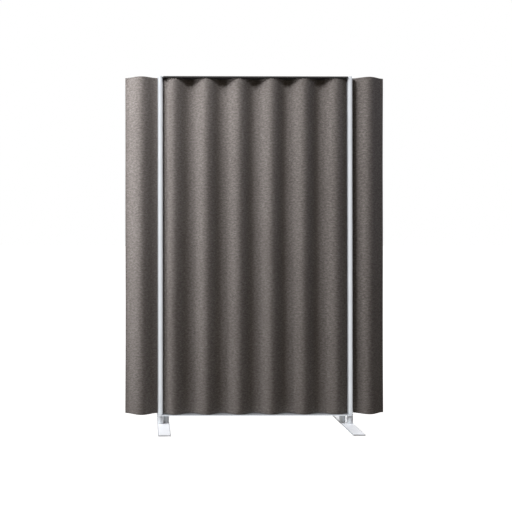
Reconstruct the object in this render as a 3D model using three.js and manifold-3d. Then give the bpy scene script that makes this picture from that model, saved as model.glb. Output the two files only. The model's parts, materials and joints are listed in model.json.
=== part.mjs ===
// A free-standing room screen. One thick felt sheet, pressed into upright waves, is pinched between two
// pairs of round posts. Each pair stands on a flat foot plate, a flat bar carries the sheet from below
// and a second flat bar closes it along the top.
// Millimetres, +Z up, the front faces -Y. The origin is on the floor, midway between the front and the
// rear posts and midway between the two feet.

import * as THREE from 'three';
import { mergeVertices } from 'three/addons/utils/BufferGeometryUtils.js';
import Module from 'manifold-3d';

const manifold = await Module();
manifold.setup();

// Felt sheet
const WAVE_PITCH = 150; // from one crest to the next
const WAVE_COUNT = 8;
const WAVE_DEPTH = 32; // from the crests' front to the troughs' front
const FELT_THICKNESS = 10;
const SHEET_HEIGHT = 1555;
const END_SWEEP = 4; // how much further back than a trough each end of the sheet reaches
const NOTCH_CLEARANCE = 0.8; // between the ends of the top rail and the sides of the sheet's notch

// Posts: plain tubes, all four alike
const POST_DIAMETER = 25;
const POST_WALL = 2;
const POST_EDGE_BREAK = 0.5;
const FRONT_POST_INSET = 12; // from the middle of the trough that it stands in, towards the middle
const REAR_POST_INSET = 40; // from the middle of the same trough
const POST_PROUD = 2; // how far a post's top stands above the top rail

// Spacers between the foot plates and the bottom rail
const SPACER_DIAMETER = 27;
const SPACER_LENGTH = 38;
const SPACER_EDGE_BREAK = 0.8;

// Foot plates and their glides
const FOOT_LENGTH = 370; // from front to back
const FOOT_THICKNESS = 6;
const FOOT_SIDE_MARGIN = 0.5; // past the spacers
const FOOT_CORNER_RADIUS = 4;
const FOOT_EDGE_BREAK = 0.7;
const GLIDE_DIAMETER = 24;
const GLIDE_THICKNESS = 2;
const GLIDE_EDGE_BREAK = 0.5;
const GLIDE_INSET = 24; // from the foot's end to the glide's centre

// Flat bars
const BOTTOM_RAIL_THICKNESS = 5;
const BOTTOM_RAIL_MARGIN = 3; // past the spacers, at the front and at the back
const BOTTOM_RAIL_CORNER_RADIUS = 12;
const TOP_RAIL_THICKNESS = 6;
const TOP_RAIL_MARGIN = 6.5; // past the posts, at the front and at the back
const TOP_RAIL_CORNER_RADIUS = 3;
const RAIL_EDGE_BREAK = 0.5;

// Threaded plugs in the post ends, and countersunk screws with hexagon sockets
const PLUG_LENGTH = 25;
const PLUG_EDGE_BREAK = 1;
const SCREW_DIAMETER = 8;
const SCREW_HEAD_DIAMETER = 16;
const SCREW_HEAD_RIM = 0.4; // height of the straight rim above the cone
const SCREW_SOCKET_WIDTH = 5; // across the flats
const SCREW_SOCKET_DEPTH = 3;
const SCREW_TIP_BREAK = 1;
const FOOT_SCREW_GRIP = 20; // length in the plug
const TOP_SCREW_GRIP = 18;

// Fits
const FELT_CLEARANCE = 0.3; // between the felt and what touches it
const FIT_CLEARANCE = 0.3; // between rigid pieces that pass through each other

// Fineness of the curved surfaces
const STEPS_PER_WAVE = 30;
const ROUND_STEPS = 40; // around a tube
const SCREW_STEPS = 24; // around a screw, its holes and its plug's bore
const CORNER_STEPS = 6;
const SEAT_SAMPLE_STEP = 0.5;
const CUT_OVERLAP = 1; // how far a cutting solid reaches past the surface that it opens

// Heights, from the floor up
const footBottom = GLIDE_THICKNESS;
const footTop = footBottom + FOOT_THICKNESS;
const bottomRailBottom = footTop + SPACER_LENGTH;
const bottomRailTop = bottomRailBottom + BOTTOM_RAIL_THICKNESS;
const sheetBottom = bottomRailTop + FELT_CLEARANCE;
const sheetTop = sheetBottom + SHEET_HEIGHT;
const topRailTop = sheetTop;
const topRailBottom = topRailTop - TOP_RAIL_THICKNESS;
const postTop = topRailTop + POST_PROUD;

// Radii that follow from the sizes above
const postRadius = POST_DIAMETER / 2;
const boreRadius = postRadius - POST_WALL;
const spacerRadius = SPACER_DIAMETER / 2;
const plugRadius = boreRadius - FIT_CLEARANCE;
const screwRadius = SCREW_DIAMETER / 2;
const screwHoleRadius = screwRadius + FIT_CLEARANCE;
const screwHeadRadius = SCREW_HEAD_DIAMETER / 2;

// The sheet's middle surface, seen from above, before it is moved to its place between the posts:
// a cosine whose ends are troughs, with a slight extra sweep to the back outside the last crests.
const sheetHalfWidth = (WAVE_COUNT * WAVE_PITCH) / 2;
const waveAmplitude = WAVE_DEPTH / 2;
const waveNumber = (2 * Math.PI) / WAVE_PITCH;
const lastCrestX = sheetHalfWidth - WAVE_PITCH / 2;

function sweepShare(x) {
  return Math.max(0, Math.abs(x) - lastCrestX) / (sheetHalfWidth - lastCrestX);
}

function middleDepth(x) {
  return waveAmplitude * Math.cos(waveNumber * (x - sheetHalfWidth)) + END_SWEEP * sweepShare(x) ** 2;
}

function middleSlope(x) {
  const waveSlope = -waveAmplitude * waveNumber * Math.sin(waveNumber * (x - sheetHalfWidth));
  const sweepSlope = (2 * END_SWEEP * sweepShare(x)) / (sheetHalfWidth - lastCrestX);
  return waveSlope + Math.sign(x) * sweepSlope;
}

// A point on one face of the sheet; side is -1 for the front face and 1 for the rear face.
function facePoint(x, side) {
  const offset = (side * FELT_THICKNESS) / 2 / Math.hypot(1, middleSlope(x));
  return new THREE.Vector2(x - middleSlope(x) * offset, middleDepth(x) + offset);
}

function facePoints(side, step) {
  const count = Math.round((2 * sheetHalfWidth) / step);
  return Array.from({ length: count + 1 }, (_, i) =>
    facePoint(-sheetHalfWidth + (2 * sheetHalfWidth * i) / count, side));
}

// The depth at which a post at x just clears one face of the sheet.
function seatDepth(x, side) {
  const reach = postRadius + FELT_CLEARANCE;
  const touching = facePoints(side, SEAT_SAMPLE_STEP)
    .filter((point) => Math.abs(point.x - x) < reach)
    .map((point) => side * (point.y + side * Math.sqrt(reach ** 2 - (point.x - x) ** 2)));
  return side * Math.max(...touching);
}

// Where the posts stand. The sheet and the posts share one shift that puts the origin between the posts.
const troughX = sheetHalfWidth - WAVE_PITCH;
const frontPostX = troughX - FRONT_POST_INSET;
const rearPostX = troughX - REAR_POST_INSET;
const frontSeatDepth = seatDepth(frontPostX, -1);
const rearSeatDepth = seatDepth(rearPostX, 1);
const sheetShift = -(frontSeatDepth + rearSeatDepth) / 2;
const frontPostY = frontSeatDepth + sheetShift;
const rearPostY = rearSeatDepth + sheetShift;

const posts = [
  { place: 'front_left', x: -frontPostX, y: frontPostY, facing: -1, side: -1 },
  { place: 'front_right', x: frontPostX, y: frontPostY, facing: -1, side: 1 },
  { place: 'rear_left', x: -rearPostX, y: rearPostY, facing: 1, side: -1 },
  { place: 'rear_right', x: rearPostX, y: rearPostY, facing: 1, side: 1 },
];

// ---- Shaping helpers

function toSolid(geometry) {
  const bare = geometry.clone();
  bare.deleteAttribute('normal');
  bare.deleteAttribute('uv');
  const merged = mergeVertices(bare);
  return new manifold.Manifold(new manifold.Mesh({
    numProp: 3,
    vertProperties: new Float32Array(merged.attributes.position.array),
    triVerts: new Uint32Array(merged.index.array),
  }));
}

function toGeometry(solid) {
  const { vertProperties, triVerts } = solid.getMesh();
  const geometry = new THREE.BufferGeometry();
  geometry.setAttribute('position', new THREE.BufferAttribute(vertProperties, 3));
  geometry.setIndex(new THREE.BufferAttribute(triVerts, 1));
  geometry.computeVertexNormals();
  return geometry;
}

// A solid turned about Z from a closed profile of [radius, height] pairs.
function turned(profile, steps) {
  const points = profile.map(([radius, height]) => new THREE.Vector2(radius, height));
  return new THREE.LatheGeometry(points, steps).rotateX(Math.PI / 2);
}

function cylinder(radius, bottom, top, steps) {
  return turned([[0, bottom], [radius, bottom], [radius, top], [0, top]], steps);
}

function sleeve(innerRadius, outerRadius, height, edgeBreak, steps) {
  return turned([
    [innerRadius, 0],
    [outerRadius - edgeBreak, 0],
    [outerRadius, edgeBreak],
    [outerRadius, height - edgeBreak],
    [outerRadius - edgeBreak, height],
    [innerRadius, height],
    [innerRadius, 0],
  ], steps);
}

function box(minX, maxX, minY, maxY, minZ, maxZ) {
  return new THREE.BoxGeometry(maxX - minX, maxY - minY, maxZ - minZ)
    .translate((minX + maxX) / 2, (minY + maxY) / 2, (minZ + maxZ) / 2);
}

// A flat bar with rounded corners and broken edges, centred on Z, with its underside at height 0.
function flatBar(length, depth, thickness, cornerRadius, edgeBreak) {
  const right = length / 2 - cornerRadius;
  const back = depth / 2 - cornerRadius;
  const outline = new THREE.Shape();
  outline.absarc(right, back, cornerRadius, 0, Math.PI / 2, false);
  outline.absarc(-right, back, cornerRadius, Math.PI / 2, Math.PI, false);
  outline.absarc(-right, -back, cornerRadius, Math.PI, 1.5 * Math.PI, false);
  outline.absarc(right, -back, cornerRadius, 1.5 * Math.PI, 2 * Math.PI, false);
  return new THREE.ExtrudeGeometry(outline, {
    depth: thickness - 2 * edgeBreak,
    bevelThickness: edgeBreak,
    bevelSize: edgeBreak,
    bevelOffset: -edgeBreak,
    bevelSegments: 1,
    curveSegments: CORNER_STEPS,
  }).translate(0, 0, edgeBreak);
}

// The hole for a countersunk screw whose head is flush with height 0 and whose shank points up.
function screwHole(depth) {
  const coneDepth = screwHeadRadius - screwRadius;
  const headRadius = screwHeadRadius + FIT_CLEARANCE;
  return turned([
    [0, -CUT_OVERLAP],
    [headRadius, -CUT_OVERLAP],
    [headRadius, SCREW_HEAD_RIM],
    [screwHoleRadius, SCREW_HEAD_RIM + coneDepth],
    [screwHoleRadius, depth + CUT_OVERLAP],
    [0, depth + CUT_OVERLAP],
  ], SCREW_STEPS);
}

// ---- The pieces

function feltSheet() {
  const step = WAVE_PITCH / STEPS_PER_WAVE;
  const outline = [...facePoints(-1, step), ...facePoints(1, step).reverse()];
  const sheet = new THREE.ExtrudeGeometry(new THREE.Shape(outline), { depth: SHEET_HEIGHT, bevelEnabled: false });
  const notchHalfWidth = frontPostX + postRadius + NOTCH_CLEARANCE;
  const notchDepth = TOP_RAIL_THICKNESS + FELT_CLEARANCE;
  const sheetReach = WAVE_DEPTH + FELT_THICKNESS + END_SWEEP;
  const notch = box(-notchHalfWidth, notchHalfWidth, -sheetReach, sheetReach,
    SHEET_HEIGHT - notchDepth, SHEET_HEIGHT + CUT_OVERLAP);
  return toGeometry(toSolid(sheet).subtract(toSolid(notch)));
}

// Above the top rail's underside only the outer half of the tube stands, as a lip in front of the rail.
function post() {
  const height = postTop - bottomRailTop;
  const tube = sleeve(boreRadius, postRadius, height, POST_EDGE_BREAK, ROUND_STEPS);
  const cutWidth = postRadius + CUT_OVERLAP;
  const cut = box(-cutWidth, cutWidth, -FIT_CLEARANCE, cutWidth,
    topRailBottom - bottomRailTop, height + CUT_OVERLAP);
  return toGeometry(toSolid(tube).subtract(toSolid(cut)));
}

function plug() {
  return sleeve(screwHoleRadius, plugRadius, PLUG_LENGTH, PLUG_EDGE_BREAK, SCREW_STEPS);
}

function spacer() {
  return sleeve(screwHoleRadius, spacerRadius, SPACER_LENGTH, SPACER_EDGE_BREAK, ROUND_STEPS);
}

function glide() {
  const rimRadius = GLIDE_DIAMETER / 2;
  return turned([
    [0, 0],
    [rimRadius - GLIDE_EDGE_BREAK, 0],
    [rimRadius, GLIDE_EDGE_BREAK],
    [rimRadius, GLIDE_THICKNESS],
    [0, GLIDE_THICKNESS],
  ], SCREW_STEPS);
}

// A countersunk screw with its head flush with height 0 and its shank pointing up.
function screw(length) {
  const body = turned([
    [0, 0],
    [screwHeadRadius, 0],
    [screwHeadRadius, SCREW_HEAD_RIM],
    [screwRadius, SCREW_HEAD_RIM + screwHeadRadius - screwRadius],
    [screwRadius, length - SCREW_TIP_BREAK],
    [screwRadius - SCREW_TIP_BREAK, length],
    [0, length],
  ], SCREW_STEPS);
  const socketRadius = SCREW_SOCKET_WIDTH / Math.sqrt(3);
  const socketHeight = SCREW_SOCKET_DEPTH + CUT_OVERLAP;
  const socket = new THREE.CylinderGeometry(socketRadius, socketRadius, socketHeight, 6)
    .rotateX(Math.PI / 2)
    .translate(0, 0, SCREW_SOCKET_DEPTH - socketHeight / 2);
  return toGeometry(toSolid(body).subtract(toSolid(socket)));
}

// One foot plate, drilled from below for its two posts.
function footPlate(side) {
  const width = frontPostX - rearPostX + 2 * (spacerRadius + FOOT_SIDE_MARGIN);
  const centreX = (side * (frontPostX + rearPostX)) / 2;
  const plate = flatBar(width, FOOT_LENGTH, FOOT_THICKNESS, FOOT_CORNER_RADIUS, FOOT_EDGE_BREAK);
  const hole = toSolid(screwHole(FOOT_THICKNESS));
  return posts
    .filter((place) => place.side === side)
    .reduce((solid, { x, y }) => solid.subtract(hole.translate([x - centreX, y, 0])), toSolid(plate));
}

function bottomRail() {
  const length = 2 * (frontPostX + spacerRadius);
  const depth = rearPostY - frontPostY + 2 * (spacerRadius + BOTTOM_RAIL_MARGIN);
  const bar = flatBar(length, depth, BOTTOM_RAIL_THICKNESS, BOTTOM_RAIL_CORNER_RADIUS, RAIL_EDGE_BREAK);
  const drill = cylinder(screwHoleRadius, -CUT_OVERLAP, BOTTOM_RAIL_THICKNESS + CUT_OVERLAP, SCREW_STEPS);
  const hole = toSolid(drill);
  return posts.reduce((solid, { x, y }) => solid.subtract(hole.translate([x, y, 0])), toSolid(bar));
}

// The slot that a post's lip stands in: open to the rail's edge, round a tongue that fills the bore.
function lipSlot(reach) {
  const slotRadius = postRadius + FIT_CLEARANCE;
  const bottom = -CUT_OVERLAP;
  const top = TOP_RAIL_THICKNESS + CUT_OVERLAP;
  const slot = toSolid(box(-slotRadius, slotRadius, -reach, 0, bottom, top));
  return slot.subtract(toSolid(cylinder(boreRadius - FIT_CLEARANCE, bottom, top, ROUND_STEPS)));
}

function topRail() {
  const length = 2 * (frontPostX + postRadius);
  const reach = postRadius + TOP_RAIL_MARGIN;
  const depth = rearPostY - frontPostY + 2 * reach;
  const bar = flatBar(length, depth, TOP_RAIL_THICKNESS, TOP_RAIL_CORNER_RADIUS, RAIL_EDGE_BREAK);
  const slot = lipSlot(reach + CUT_OVERLAP);
  const hole = toSolid(screwHole(TOP_RAIL_THICKNESS).rotateX(Math.PI)).translate([0, 0, TOP_RAIL_THICKNESS]);
  return posts.reduce((solid, { x, y, facing }) => {
    const turn = facing < 0 ? 0 : 180;
    return solid
      .subtract(slot.rotate([0, 0, turn]).translate([x, y, 0]))
      .subtract(hole.translate([x, y, 0]));
  }, toSolid(bar));
}

// ---- Assembly

const FINISHES = {
  felt: { color: 0x857d79, roughness: 1, metalness: 0 },
  silver: { color: 0xdfe2e5, roughness: 0.35, metalness: 0.2 },
  black: { color: 0x161413, roughness: 0.55, metalness: 0 },
  white: { color: 0xf0f1f2, roughness: 0.45, metalness: 0 },
  steel: { color: 0xb4b8bc, roughness: 0.35, metalness: 0.9 },
  plastic: { color: 0x4a4c4e, roughness: 0.6, metalness: 0 },
};

const screen = new THREE.Group();

function add(name, geometry, finish, x, y, z) {
  const mesh = new THREE.Mesh(geometry, new THREE.MeshStandardMaterial(FINISHES[finish]));
  mesh.name = name;
  mesh.position.set(x, y, z);
  screen.add(mesh);
  return mesh;
}

add('felt_sheet', feltSheet(), 'felt', 0, sheetShift, sheetBottom);
add('bottom_rail', toGeometry(bottomRail()), 'silver', 0, 0, bottomRailBottom);
add('top_rail', toGeometry(topRail()), 'black', 0, 0, topRailBottom);

for (const [name, side] of [['left', -1], ['right', 1]]) {
  const centreX = (side * (frontPostX + rearPostX)) / 2;
  const glideY = FOOT_LENGTH / 2 - GLIDE_INSET;
  add(`foot_plate_${name}`, toGeometry(footPlate(side)), 'white', centreX, 0, footBottom);
  add(`glide_front_${name}`, glide(), 'plastic', centreX, -glideY, 0);
  add(`glide_rear_${name}`, glide(), 'plastic', centreX, glideY, 0);
}

const footScrewLength = bottomRailTop - footBottom + FOOT_SCREW_GRIP;
const topScrewLength = TOP_RAIL_THICKNESS + TOP_SCREW_GRIP;

for (const { place, x, y, facing } of posts) {
  add(`spacer_${place}`, spacer(), 'silver', x, y, footTop);
  add(`post_${place}`, post(), 'silver', x, y, bottomRailTop).rotation.z = facing < 0 ? 0 : Math.PI;
  add(`bottom_plug_${place}`, plug(), 'steel', x, y, bottomRailTop);
  add(`top_plug_${place}`, plug(), 'steel', x, y, topRailBottom - PLUG_LENGTH);
  add(`foot_screw_${place}`, screw(footScrewLength), 'steel', x, y, footBottom);
  add(`top_screw_${place}`, screw(topScrewLength), 'steel', x, y, topRailTop).rotation.x = Math.PI;
}

export default screen;
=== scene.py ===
"""Looks of a free-standing room screen: a thick felt sheet in upright waves, pinched between round posts.

Metres, +Z up, the front faces -Y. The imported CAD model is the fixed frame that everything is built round.
"""

import json
import math

import bpy
import numpy as np
from mathutils import Euler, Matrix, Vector

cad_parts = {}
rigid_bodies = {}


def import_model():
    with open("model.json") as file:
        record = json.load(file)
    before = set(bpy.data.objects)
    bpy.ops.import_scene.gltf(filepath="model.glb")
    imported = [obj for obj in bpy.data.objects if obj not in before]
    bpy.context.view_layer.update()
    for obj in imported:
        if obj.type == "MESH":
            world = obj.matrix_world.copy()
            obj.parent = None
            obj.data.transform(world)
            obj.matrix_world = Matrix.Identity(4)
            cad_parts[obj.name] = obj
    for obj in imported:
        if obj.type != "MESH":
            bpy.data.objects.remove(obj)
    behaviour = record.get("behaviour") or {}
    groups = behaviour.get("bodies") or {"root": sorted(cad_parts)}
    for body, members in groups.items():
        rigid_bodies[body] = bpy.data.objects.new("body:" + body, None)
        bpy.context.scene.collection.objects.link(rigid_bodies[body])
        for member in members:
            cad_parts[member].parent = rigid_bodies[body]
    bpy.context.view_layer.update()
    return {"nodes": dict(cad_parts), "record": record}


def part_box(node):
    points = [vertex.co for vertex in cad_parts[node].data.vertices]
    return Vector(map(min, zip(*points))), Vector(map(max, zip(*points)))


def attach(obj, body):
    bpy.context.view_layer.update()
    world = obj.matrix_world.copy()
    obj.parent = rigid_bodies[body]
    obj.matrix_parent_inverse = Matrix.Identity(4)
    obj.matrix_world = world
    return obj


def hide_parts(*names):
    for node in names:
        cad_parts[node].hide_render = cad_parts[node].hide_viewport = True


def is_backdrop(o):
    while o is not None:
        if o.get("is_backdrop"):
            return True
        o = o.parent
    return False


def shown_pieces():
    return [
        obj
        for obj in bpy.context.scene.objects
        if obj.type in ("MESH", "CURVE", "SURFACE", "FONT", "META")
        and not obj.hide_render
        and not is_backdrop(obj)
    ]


# Felt sheet, with the same sizes as its CAD solid
WAVE_PITCH = 0.150
WAVE_COUNT = 8
WAVE_DEPTH = 0.032
END_SWEEP = 0.004
FELT_THICKNESS = 0.010
SHEET_HALF_WIDTH = WAVE_COUNT * WAVE_PITCH / 2
WAVE_NUMBER = 2 * math.pi / WAVE_PITCH
LAST_CREST = SHEET_HALF_WIDTH - WAVE_PITCH / 2

# Notch in the sheet's top edge, round the top rail: its gaps past the rail's ends and below the rail
NOTCH_CLEARANCE = 0.0008
NOTCH_GAP = 0.0003
NOTCH_SIDE = 0.0003  # half of the width over which the mesh steps down into the notch
NOTCH_BLEND = 0.1  # share of the sheet's height over which the rows below the notch are lowered

# Mesh of the sheet: its cells, and the rounding and the steps (in radii) of its cut edges
COLUMN_STEP = 0.0050
ROW_STEP = 0.0110
CUT_EDGE_RADIUS = 0.0026
CUT_EDGE_STEPS = (0.0, 0.08, 0.28, 0.6, 1.0, 2.0, 3.6)
LENGTH_SAMPLES = 9601  # points by which the wavy middle surface's length is measured

# How far the darkening near a cut edge reaches into a face, and the exponent of its fade
CUT_ZONE = 0.009
CUT_FADE = 0.6

# Slow unevenness of the sheet: amplitude, turns per metre across and upwards, phase
DEPTH_RIPPLES = ((0.00050, 0.42, 0.31, 0.4), (0.00042, 1.15, 0.73, 2.2), (0.00030, 2.30, 1.60, 5.1))
SIDE_RIPPLES = ((0.00070, 0.35, 0.52, 1.1), (0.00045, 1.40, 1.10, 3.6))
POST_HOLD = 0.05  # how far from a post's middle the posts still steady the sheet

# Colours of the felt: the range of its ground, its fibres, and the darker colour blended in near its cut
# edges
FELT_SHADE = (0.098, 0.084, 0.076, 1.0)
FELT_LIGHT = (0.290, 0.264, 0.247, 1.0)
PALE_FIBRE = (0.46, 0.43, 0.41, 1.0)
DARK_FIBRE = (0.045, 0.038, 0.035, 1.0)
NEAR_CUT_COLOUR = (0.060, 0.054, 0.052, 1.0)

# Foot plates: a painted shade line round the top of each, along its bevel, standing in for the bevel's
# shading
RIM_WIDTH = 0.0030
RIM_DEPTH = 0.0012
RIM_FADE = 0.3  # share of the line's width and depth over which it fades out
# colour of the painted shade line
PAINTED_RIM_SHADE = (0.24, 0.25, 0.27, 1.0)

# Rigid pieces: points closer than this are joined, and edges bent more than this stay sharp
MERGE_DISTANCE = 1e-5
SHARP_ANGLE = math.radians(50)

# The camera, as fitted to the photograph: focal length and width in its pixels, place, turn and shift
FOCAL_PIXELS = 629
PHOTO_PIXELS = 512
SENSOR_WIDTH = 36.0
CAMERA_PLACE = (-0.497, -2.914, 0.865)
CAMERA_YAW = math.radians(0.5)
CAMERA_PITCH = math.radians(-0.23)
CAMERA_SHIFT = (0.201, -0.041)

# The studio: its floor, and its weak fill light
FLOOR_REACH = 60.0
FLOOR_GLOW = 0.93
FILL_COLOUR = (1.15, 0.97, 0.72, 1.0)
FILL_STRENGTH = 0.085

# How bright the studio's left and right sides are where they are mirrored; behind the object it is 1
LEFT_MIRRORED = 1.50
RIGHT_MIRRORED = 1.10
SIDE_REACH = 0.8  # how far left or right a direction points, as X, where that side's full brightness starts
BEHIND_STARTS = 0.1  # how far back a direction points, as Y, where the brightness begins to fall to 1
BEHIND_ENDS = 0.8  # and where it has fallen to 1

# Lamps: name, place, what it is aimed at, width and height, watts, colour
COOL = (0.975, 0.995, 1.035)
COOLER = (0.85, 0.96, 1.24)
LAMPS = (
    ("high_lamp", (-2.2, -1.0, 3.6), (-0.1, 0.0, 1.1), (1.4, 1.0), 89.0, COOL),
    ("front_lamp", (-1.25, -1.1, 2.75), (-0.2, 0.0, 1.2), (0.8, 0.5), 55.5, COOL),
    ("left_lamp", (-1.9, -0.3, 1.1), (-0.5, 0.0, 1.0), (0.5, 0.7), 30.0, COOL),
    ("right_lamp", (2.0, -0.4, 1.7), (0.5, 0.0, 1.3), (0.5, 0.8), 5.0, COOLER),
    ("rear_lamp", (2.2, 1.9, 2.4), (0.1, 0.0, 0.9), (1.6, 1.2), 135.0, COOL),
)


def clear_scene():
    """Empties Blender's start-up scene."""
    for item in list(bpy.data.objects):
        bpy.data.objects.remove(item, do_unlink=True)


# ---------------------------------------------------------------- node helpers


class Graph:
    """A short way to write a node tree: most calls add a node and return its main output."""

    def __init__(self, tree):
        self.tree = tree

    def node(self, kind, inputs=None, **settings):
        """A new node with those settings, each of its inputs linked or set to a constant."""
        made = self.tree.nodes.new(kind)
        for name, value in settings.items():
            setattr(made, name, value)
        for name, value in (inputs or {}).items():
            self.feed(made.inputs[name], value)
        return made

    def feed(self, socket, value):
        """Links another node's output to the socket, or sets the socket to a constant."""
        if isinstance(value, bpy.types.NodeSocket):
            self.tree.links.new(value, socket)
        else:
            socket.default_value = value

    def noise(self, vector, scale, detail=2.0, roughness=0.5):
        """Noise of so many cells per metre: one number, or one for each axis of a stretched noise."""
        if isinstance(scale, tuple):
            return self.noise(self.stretch(vector, scale), 1.0, detail, roughness)
        inputs = {"Vector": vector, "Scale": scale, "Detail": detail, "Roughness": roughness}
        return self.node("ShaderNodeTexNoise", inputs).outputs["Fac"]

    def stretch(self, vector, scale, turn=0.0, shift=(0.0, 0.0, 0.0)):
        """The coordinates scaled along each axis, turned about Z and moved."""
        inputs = {"Vector": vector, "Scale": scale, "Rotation": (0.0, 0.0, turn), "Location": shift}
        return self.node("ShaderNodeMapping", inputs).outputs["Vector"]

    def span(self, value, low, high, to_low=0.0, to_high=1.0):
        """The value moved from one range to another, and held at that range's ends."""
        inputs = {0: value, 1: low, 2: high, 3: to_low, 4: to_high}
        return self.node("ShaderNodeMapRange", inputs).outputs["Result"]

    def math(self, operation, first, second=0.0):
        return self.node("ShaderNodeMath", {0: first, 1: second}, operation=operation).outputs[0]

    def blend(self, factor, first, second):
        """A colour between the first, where the factor is 0, and the second, where it is 1."""
        made = self.node("ShaderNodeMix", data_type="RGBA", blend_type="MIX")
        colours = [s for s in made.inputs if s.type == "RGBA"]
        self.feed(made.inputs["Factor"], factor)
        self.feed(colours[0], first)
        self.feed(colours[1], second)
        return next(s for s in made.outputs if s.type == "RGBA")

    def bump(self, height, strength, distance, normal=None):
        """Normals of a relief that is so many metres deep, on top of another relief's normals."""
        inputs = {"Height": height, "Strength": strength, "Distance": distance}
        if normal is not None:
            inputs["Normal"] = normal
        return self.node("ShaderNodeBump", inputs).outputs["Normal"]


def surface(name, **constants):
    """A new material: its graph, its Principled shader and itself. Constants go on the shader's sockets."""
    made = bpy.data.materials.new(name)
    made.use_nodes = True
    graph = Graph(made.node_tree)
    shader = made.node_tree.nodes["Principled BSDF"]
    for socket, value in constants.items():
        shader.inputs[socket.replace("_", " ")].default_value = value
    return graph, shader, made


def grey(value):
    """An opaque neutral colour of that lightness."""
    return (value, value, value, 1.0)


# ---------------------------------------------------------------- materials


def felt_material():
    """Needled felt: pale and dark fibres mixed to a warm grey, mostly lying across the sheet."""
    graph, shader, made = surface(
        "needled_felt",
        Roughness=0.92,
        Specular_IOR_Level=0.18,
        Sheen_Weight=0.30,
        Sheen_Roughness=0.55,
        Sheen_Tint=(0.86, 0.82, 0.78, 1.0),
    )
    # Noises across and up the flat sheet, from wide clouds to single hairs
    flat = graph.node("ShaderNodeUVMap", uv_map="flat").outputs["UV"]
    cloud = graph.noise(flat, (5.0, 3.2, 1.0), detail=3.0)
    blotch = graph.noise(flat, (88.0, 118.0, 1.0), detail=5.0, roughness=0.70)
    streak = graph.noise(flat, (42.0, 330.0, 1.0), detail=3.0, roughness=0.6)
    grain = graph.noise(flat, (420.0, 620.0, 1.0))

    # Fibres: three sets of thin lines, each turned a little and moved so that the sets differ
    fibres = []
    for turn, shift in ((0.10, 3.0), (-0.45, 7.0), (0.55, 11.0)):
        lines = graph.stretch(flat, (85.0, 1250.0, 1.0), turn, (shift, shift, 0.0))
        fibres.append(graph.noise(lines, 1.0, detail=1.0))
    pale = graph.span(graph.math("MAXIMUM", fibres[0], fibres[1]), 0.60, 0.78)
    dark = graph.span(graph.math("MINIMUM", fibres[1], fibres[2]), 0.40, 0.22)

    # Tone between the ground's dark and light ends, mostly from the blotches
    tone = graph.math("SUBTRACT", graph.math("MULTIPLY", blotch, 1.70), 0.675)
    tone = graph.math("ADD", tone, graph.span(streak, 0.2, 0.8, -0.26, 0.26))
    tone = graph.math("ADD", tone, graph.span(cloud, 0.2, 0.8, -0.10, 0.10))
    tone = graph.math("ADD", tone, graph.span(grain, 0.2, 0.8, -0.18, 0.18))

    colour = graph.blend(tone, FELT_SHADE, FELT_LIGHT)
    colour = graph.blend(graph.math("MULTIPLY", pale, 0.45), colour, PALE_FIBRE)
    colour = graph.blend(graph.math("MULTIPLY", dark, 0.55), colour, DARK_FIBRE)

    # Darker near the cut edges, within CUT_ZONE, streaked by a layered noise
    cut = graph.node("ShaderNodeAttribute", attribute_name="cut").outputs["Fac"]
    layers = graph.noise(flat, (30.0, 900.0, 1.0))
    cut_tone = graph.math("MULTIPLY", cut, graph.span(layers, 0.2, 0.8, 0.35, 0.75))
    colour = graph.blend(cut_tone, colour, NEAR_CUT_COLOUR)
    graph.feed(shader.inputs["Base Color"], colour)

    # Relief of the blotches and streaks, and of the hairs on top
    relief = graph.math("ADD", graph.math("MULTIPLY", blotch, 0.5), graph.math("MULTIPLY", streak, 0.3))
    normal = graph.bump(relief, 0.55, 0.0022)
    hairs = graph.math("ADD", grain, graph.math("SUBTRACT", pale, dark))
    graph.feed(shader.inputs["Normal"], graph.bump(hairs, 0.50, 0.0005, normal))
    return made


def coated_material(name, colour, worn, roughness, metallic, peel, rim_of=None):
    """Powder coat: a fine orange-peel skin, uneven gloss, faint rubs and a few specks.

    With rim_of, the name of a foot plate, the coat also gets a painted shade line along the plates' bevels.
    """
    graph, shader, made = surface(name, Metallic=metallic, Coat_Weight=0.12, Coat_Roughness=0.30)
    place = graph.node("ShaderNodeTexCoord").outputs["Object"]
    skin = graph.noise(place, 900.0)
    haze = graph.noise(place, 14.0, detail=4.0, roughness=0.6)
    rubs = graph.noise(place, (260.0, 260.0, 14.0), detail=3.0, roughness=0.7)
    specks = graph.span(graph.noise(place, 520.0, detail=1.0), 0.71, 0.78)

    shade = graph.blend(graph.span(haze, 0.35, 0.7, 0.0, 0.30), colour, worn)
    shade = graph.blend(graph.span(rubs, 0.60, 0.85, 0.0, 0.35), shade, worn)
    shade = graph.blend(graph.math("MULTIPLY", specks, 0.30), shade, worn)
    graph.feed(shader.inputs["Base Color"], shade)

    haze_gloss = graph.span(haze, 0.3, 0.7, -0.05, 0.06)
    gloss = graph.math("ADD", haze_gloss, graph.span(rubs, 0.5, 0.85, 0.0, 0.10))
    graph.feed(shader.inputs["Roughness"], graph.math("ADD", gloss, roughness))
    graph.feed(shader.inputs["Normal"], graph.bump(skin, peel, 0.00015))
    if rim_of:
        paint_rim_shade(graph, shader, rim_of)
    return made


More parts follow.
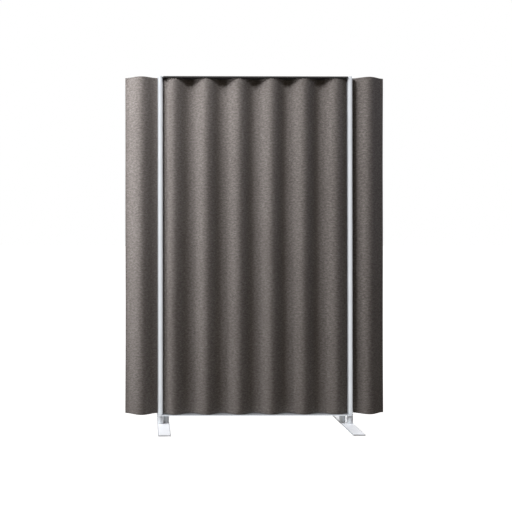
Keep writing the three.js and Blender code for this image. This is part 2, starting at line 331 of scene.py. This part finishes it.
def paint_rim_shade(graph, shader, plate):
    """Paints shade as a narrow darker grey line round the top of both foot plates, which mirror each other,
    where their bevels' shading would fall.
    """
    low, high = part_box(plate)
    half, middle = (high - low) / 2, (high + low) / 2
    place = graph.node("ShaderNodeTexCoord").outputs["Object"]
    axes = graph.node("ShaderNodeSeparateXYZ", {"Vector": place}).outputs
    off_middle = graph.math("SUBTRACT", graph.math("ABSOLUTE", axes["X"]), abs(middle.x))
    from_side = graph.math("SUBTRACT", half.x, graph.math("ABSOLUTE", off_middle))
    from_end = graph.math("SUBTRACT", half.y, graph.math("ABSOLUTE", axes["Y"]))
    near = graph.math("MINIMUM", from_side, from_end)
    edge = graph.span(near, RIM_WIDTH * (1.0 - RIM_FADE), RIM_WIDTH, 1.0, 0.0)
    upper = graph.span(axes["Z"], high.z - RIM_DEPTH * (1.0 + RIM_FADE), high.z - RIM_DEPTH)
    rim = graph.math("MULTIPLY", edge, upper)
    coat = shader.inputs["Base Color"].links[0].from_socket
    # the painted shade line is blended into the coat's colour here
    graph.feed(shader.inputs["Base Color"], graph.blend(rim, coat, PAINTED_RIM_SHADE))


def zinc_material():
    """Zinc-plated screws and plugs: a pale metal with turning marks and a cloudy finish."""
    graph, shader, made = surface("zinc_plate", Metallic=1.0)
    place = graph.node("ShaderNodeTexCoord").outputs["Object"]
    cloud = graph.noise(place, 240.0, detail=4.0, roughness=0.65)
    marks = graph.noise(place, (90.0, 90.0, 2600.0))
    colour = graph.blend(graph.span(cloud, 0.3, 0.7), (0.44, 0.45, 0.46, 1.0), (0.62, 0.64, 0.67, 1.0))
    graph.feed(shader.inputs["Base Color"], colour)
    graph.feed(shader.inputs["Roughness"], graph.span(cloud, 0.25, 0.75, 0.26, 0.46))
    graph.feed(shader.inputs["Normal"], graph.bump(marks, 0.35, 0.0001))
    return made


def glide_material():
    """Dark grey moulded plastic, slightly scuffed."""
    graph, shader, made = surface("moulded_glide", Specular_IOR_Level=0.4)
    place = graph.node("ShaderNodeTexCoord").outputs["Object"]
    grain = graph.noise(place, 1400.0)
    turned = graph.stretch(place, (420.0, 60.0, 60.0), turn=0.6)
    scuffs = graph.noise(turned, 1.0, detail=3.0, roughness=0.6)
    worn = graph.span(scuffs, 0.55, 0.8)
    graph.feed(shader.inputs["Base Color"], graph.blend(worn, grey(0.062), grey(0.115)))
    graph.feed(shader.inputs["Roughness"], graph.span(worn, 0.0, 1.0, 0.48, 0.66))
    graph.feed(shader.inputs["Normal"], graph.bump(grain, 0.4, 0.0001))
    return made


def make_materials():
    """One material for each of the record's slots, and a paler, less metallic silver for the spacers."""
    return {
        "felt": felt_material(),
        "silver": coated_material(
            "silver_coat",
            colour=(0.635, 0.66, 0.69, 1.0),
            worn=(0.55, 0.57, 0.60, 1.0),
            roughness=0.50,
            metallic=0.80,
            peel=0.20,
        ),
        "spacer": coated_material(
            "spacer_coat",
            colour=(0.67, 0.695, 0.72, 1.0),
            worn=(0.57, 0.59, 0.62, 1.0),
            roughness=0.50,
            metallic=0.12,
            peel=0.20,
        ),
        "white": coated_material(
            "white_coat",
            colour=(0.785, 0.79, 0.80, 1.0),
            worn=(0.70, 0.705, 0.715, 1.0),
            roughness=0.34,
            metallic=0.20,
            peel=0.22,
            rim_of="foot_plate_left",
        ),
        "black": coated_material(
            "black_coat",
            colour=(0.011, 0.010, 0.010, 1.0),
            worn=(0.040, 0.038, 0.037, 1.0),
            roughness=0.50,
            metallic=0.0,
            peel=0.35,
        ),
        "steel": zinc_material(),
        "glide": glide_material(),
    }


# ---------------------------------------------------------------- felt sheet


def middle_depth(x):
    """Depth of the sheet's middle surface at x, before the sheet is moved in between the posts."""
    end_share = np.maximum(0.0, np.abs(x) - LAST_CREST) / (SHEET_HALF_WIDTH - LAST_CREST)
    return WAVE_DEPTH / 2 * np.cos(WAVE_NUMBER * (x - SHEET_HALF_WIDTH)) + END_SWEEP * end_share**2


def middle_slope(x):
    """How steeply the middle surface runs backward at x."""
    step = 1e-5
    return (middle_depth(x + step) - middle_depth(x - step)) / (2 * step)


def edge_run(length, step):
    """Places along a length: close together over the rounded edges, evenly spaced between them."""
    edge = CUT_EDGE_RADIUS * np.array(CUT_EDGE_STEPS)
    count = round((length - 2 * edge[-1]) / step)
    inner = np.linspace(edge[-1], length - edge[-1], count + 1)[1:-1]
    return np.concatenate([edge, inner, length - edge[::-1]])


def ripple(waves, across, up):
    """The sum of some slow waves at a place on the sheet."""
    return sum(a * np.sin(2 * math.pi * (i * across + j * up) + p) for a, i, j, p in waves)


def notch_half_width():
    """Half of the width of the notch that takes the top rail."""
    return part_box("top_rail")[1].x + NOTCH_CLEARANCE


def post_places():
    """x of each post's middle."""
    boxes = [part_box(f"post_{row}_{side}") for row in ("front", "rear") for side in ("left", "right")]
    return np.array([(low.x + high.x) / 2 for low, high in boxes])


def column_places():
    """x of each mesh column and its place along the flat sheet, with close pairs at the notch's sides."""
    x = np.linspace(-SHEET_HALF_WIDTH, SHEET_HALF_WIDTH, LENGTH_SAMPLES)
    steps = np.hypot(np.diff(x), np.diff(middle_depth(x)))
    run = np.concatenate([[0.0], np.cumsum(steps)])
    along = edge_run(run[-1], COLUMN_STEP)
    sides = [s * (notch_half_width() + d) for s in (-1, 1) for d in (-NOTCH_SIDE, NOTCH_SIDE)]
    sides = np.interp(sides, x, run)
    clear = np.abs(along[:, None] - sides[None, :]).min(axis=1) > COLUMN_STEP / 3
    along = np.sort(np.concatenate([along[clear], sides]))
    return np.interp(along, run, x), along


def sheet_grid(node):
    """Points of the sheet's front and rear faces, their flat coordinates, and how near the cut edge is."""
    low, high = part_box(node)
    x, along = column_places()
    full = high.z - low.z
    up = edge_run(full, ROW_STEP)
    notched = np.abs(x) < notch_half_width()
    rail_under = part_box("top_rail")[0].z
    drop = np.where(notched, high.z - (rail_under - NOTCH_GAP), 0.0)

    lowered = np.clip((up - (1.0 - NOTCH_BLEND) * full) / (NOTCH_BLEND * full), 0.0, 1.0)
    from_bottom = up[None, :] - drop[:, None] * lowered[None, :]
    z = low.z + from_bottom
    from_top = (full - drop)[:, None] - from_bottom
    from_side = np.minimum(along, along[-1] - along)[:, None]
    near = np.minimum(np.minimum(from_bottom, from_top), from_side)

    round_in = CUT_EDGE_RADIUS - np.minimum(near, CUT_EDGE_RADIUS)
    half = FELT_THICKNESS / 2 - CUT_EDGE_RADIUS + np.sqrt(CUT_EDGE_RADIUS**2 - round_in**2)

    from_post = np.abs(x[:, None] - post_places()[None, :]).min(axis=1)
    free = np.clip(from_post / POST_HOLD, 0.0, 1.0) ** 2
    across = x[:, None] + free[:, None] * ripple(SIDE_RIPPLES, x[:, None], z)
    shift = low.y + WAVE_DEPTH / 2 + FELT_THICKNESS / 2
    depth = middle_depth(x)[:, None] + shift + free[:, None] * ripple(DEPTH_RIPPLES, x[:, None], z)

    slope = middle_slope(x)[:, None]
    length = np.hypot(1.0, slope)
    faces = []
    for side in (-1, 1):
        out = side * half / length
        faces.append(np.stack([across - slope * out, depth + out, z], axis=-1))
    flat = np.stack(np.broadcast_arrays(along[:, None], z), axis=-1)
    cut = 1.0 - np.clip(near / CUT_ZONE, 0.0, 1.0) ** CUT_FADE
    return faces, flat, cut


def quads_of_grid(columns, rows, first):
    """Four corner indices for each cell of a grid of points that starts at index first."""
    i, j = np.meshgrid(np.arange(columns - 1), np.arange(rows - 1), indexing="ij")
    corner = first + i * rows + j
    return np.stack([corner, corner + rows, corner + rows + 1, corner + 1], axis=-1).reshape(-1, 4)


def rim_of_grid(columns, rows):
    """Indices round a grid's outer edge, in order."""
    bottom = np.arange(columns) * rows
    right = (columns - 1) * rows + np.arange(1, rows)
    top = np.arange(columns - 2, -1, -1) * rows + rows - 1
    left = np.arange(rows - 2, 0, -1)
    return np.concatenate([bottom, right, top, left])


def make_felt_sheet(material):
    """The wavy sheet, as one closed skin with rounded cut edges and a notch for the top rail."""
    (front, rear), flat, cut = sheet_grid("felt_sheet")
    columns, rows = cut.shape
    count = columns * rows
    rim = rim_of_grid(columns, rows)
    ahead = np.roll(rim, -1)
    faces = np.concatenate(
        [
            quads_of_grid(columns, rows, 0),
            quads_of_grid(columns, rows, count)[:, ::-1],
            np.stack([rim, rim + count, ahead + count, ahead], axis=-1),
        ]
    )
    points = np.concatenate([front.reshape(-1, 3), rear.reshape(-1, 3)])
    mesh = bpy.data.meshes.new("felt_curtain")
    mesh.from_pydata(points.tolist(), [], faces.tolist())
    mesh.polygons.foreach_set("use_smooth", np.ones(len(faces), bool))

    flat_points = np.concatenate([flat.reshape(-1, 2)] * 2)
    layer = mesh.uv_layers.new(name="flat")
    layer.data.foreach_set("uv", flat_points[faces.reshape(-1)].astype(np.float32).ravel())
    near_cut = mesh.attributes.new("cut", "FLOAT", "POINT")
    near_cut.data.foreach_set("value", np.concatenate([cut.ravel()] * 2).astype(np.float32))
    mesh.update()
    mesh.validate()

    sheet = bpy.data.objects.new("felt_curtain", mesh)
    bpy.context.scene.collection.objects.link(sheet)
    mesh.materials.append(material)
    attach(sheet, "root")
    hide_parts("felt_sheet")


# ---------------------------------------------------------------- metal and plastic pieces


def round_shading(limit):
    """A modifier tree that joins a node's faces and shades them round, save at edges bent past the limit."""
    tree = bpy.data.node_groups.new("round_shading", "GeometryNodeTree")
    tree.interface.new_socket("Geometry", in_out="INPUT", socket_type="NodeSocketGeometry")
    tree.interface.new_socket("Geometry", in_out="OUTPUT", socket_type="NodeSocketGeometry")
    graph = Graph(tree)
    taken = graph.node("NodeGroupInput").outputs[0]
    close = {"Geometry": taken, "Distance": MERGE_DISTANCE}
    joined = graph.node("GeometryNodeMergeByDistance", close).outputs[0]
    normals = {"Geometry": joined, "Name": "custom_normal"}
    plain = graph.node("GeometryNodeRemoveAttribute", normals).outputs[0]
    smooth = graph.node("GeometryNodeSetShadeSmooth", {"Geometry": plain}, domain="FACE").outputs[0]
    angle = graph.node("GeometryNodeInputMeshEdgeAngle").outputs["Unsigned Angle"]
    compared = graph.node("FunctionNodeCompare", {0: angle, 1: limit}, operation="GREATER_THAN")
    bent = {"Geometry": smooth, "Selection": compared.outputs[0], "Shade Smooth": False}
    edges = graph.node("GeometryNodeSetShadeSmooth", bent, domain="EDGE").outputs[0]
    graph.node("NodeGroupOutput", {"Geometry": edges})
    return tree


def dress_nodes(frame, materials):
    """Gives every CAD node its material, and rounds the shading of the nodes that show."""
    slots = {part["node"]: part["material_slot"] for part in frame["record"]["subparts"]}
    tree = round_shading(SHARP_ANGLE)
    for name, node in frame["nodes"].items():
        look = "spacer" if name.startswith("spacer_") else slots[name]
        for slot in node.material_slots:
            slot.material = materials[look]
        if node.hide_render:
            continue
        node.modifiers.new("round_shading", "NODES").node_group = tree
        weighted = node.modifiers.new("flat_faces", "WEIGHTED_NORMAL")
        weighted.keep_sharp = True


# ---------------------------------------------------------------- studio


def make_floor():
    """A wide pale floor that isn't part of the object."""
    made = surface(
        "studio_floor",
        Base_Color=(0.9, 0.9, 0.9, 1.0),
        Roughness=0.9,
        Specular_IOR_Level=0.0,
        Emission_Color=(1.0, 1.0, 1.0, 1.0),
        Emission_Strength=FLOOR_GLOW,
    )[-1]
    mesh = bpy.data.meshes.new("floor")
    corners = [(x * FLOOR_REACH, y * FLOOR_REACH, 0.0) for x, y in ((-1, -1), (1, -1), (1, 1), (-1, 1))]
    mesh.from_pydata(corners, [], [(0, 1, 2, 3)])
    mesh.materials.append(made)
    floor = bpy.data.objects.new("floor", mesh)
    bpy.context.scene.collection.objects.link(floor)
    floor.visible_diffuse = False
    floor.visible_glossy = False
    floor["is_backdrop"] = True


def make_surroundings():
    """A white studio with a weak warm fill light.

    What the pieces mirror of it is brighter at their front and sides, most of all at the left.
    """
    world = bpy.data.worlds.new("studio")
    world.use_nodes = True
    bpy.context.scene.world = world
    graph = Graph(world.node_tree)
    shown = world.node_tree.nodes["Background"]
    shown.inputs["Color"].default_value = (1.0, 1.0, 1.0, 1.0)
    paths = graph.node("ShaderNodeLightPath").outputs
    aim = graph.node("ShaderNodeTexCoord").outputs["Generated"]
    axes = graph.node("ShaderNodeSeparateXYZ", {"Vector": aim}).outputs
    ahead = graph.span(axes["Y"], BEHIND_STARTS, BEHIND_ENDS, 1.0, 0.0)
    added = graph.span(axes["X"], -SIDE_REACH, SIDE_REACH, LEFT_MIRRORED - 1.0, RIGHT_MIRRORED - 1.0)
    mirrored = graph.math("MULTIPLY", graph.math("MULTIPLY", ahead, added), paths["Is Glossy Ray"])
    graph.feed(shown.inputs["Strength"], graph.math("ADD", 1.0, mirrored))
    fill = graph.node("ShaderNodeBackground", {"Color": FILL_COLOUR, "Strength": FILL_STRENGTH})
    either = {0: paths["Is Diffuse Ray"], 1: shown.outputs[0], 2: fill.outputs[0]}
    mixed = graph.node("ShaderNodeMixShader", either)
    graph.feed(world.node_tree.nodes["World Output"].inputs["Surface"], mixed.outputs[0])


def add_lamp(receivers, name, place, target, size, power, colour):
    """A rectangular lamp that lights the receivers alone and isn't seen in what they mirror."""
    lamp = bpy.data.lights.new(name, "AREA")
    lamp.shape = "RECTANGLE"
    lamp.size, lamp.size_y = size
    lamp.energy = power
    lamp.color = colour
    holder = bpy.data.objects.new(name, lamp)
    bpy.context.scene.collection.objects.link(holder)
    holder.location = place
    aim = Vector(target) - Vector(place)
    holder.rotation_euler = aim.to_track_quat("-Z", "Y").to_euler()
    holder.light_linking.receiver_collection = receivers
    holder.visible_glossy = False


def make_lamps():
    """Soft lamps that light the pieces alone: two high at the left, one beside each end, one behind."""
    lit = bpy.data.collections.new("lit_pieces")
    bpy.context.scene.collection.children.link(lit)
    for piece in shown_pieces():
        lit.objects.link(piece)
    for lamp in LAMPS:
        add_lamp(lit, *lamp)


def make_camera():
    """The camera, where and as the photograph's view needs it."""
    data = bpy.data.cameras.new("camera")
    data.sensor_width = SENSOR_WIDTH
    data.lens = FOCAL_PIXELS / PHOTO_PIXELS * SENSOR_WIDTH
    data.shift_x, data.shift_y = CAMERA_SHIFT
    camera = bpy.data.objects.new("camera", data)
    bpy.context.scene.collection.objects.link(camera)
    camera.location = CAMERA_PLACE
    camera.rotation_euler = Euler((math.pi / 2 - CAMERA_PITCH, 0.0, -CAMERA_YAW))
    bpy.context.scene.camera = camera


clear_scene()
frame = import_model()
bpy.context.scene.view_settings.view_transform = "Standard"
materials = make_materials()
make_felt_sheet(materials["felt"])
dress_nodes(frame, materials)
make_floor()
make_surroundings()
make_lamps()
make_camera()
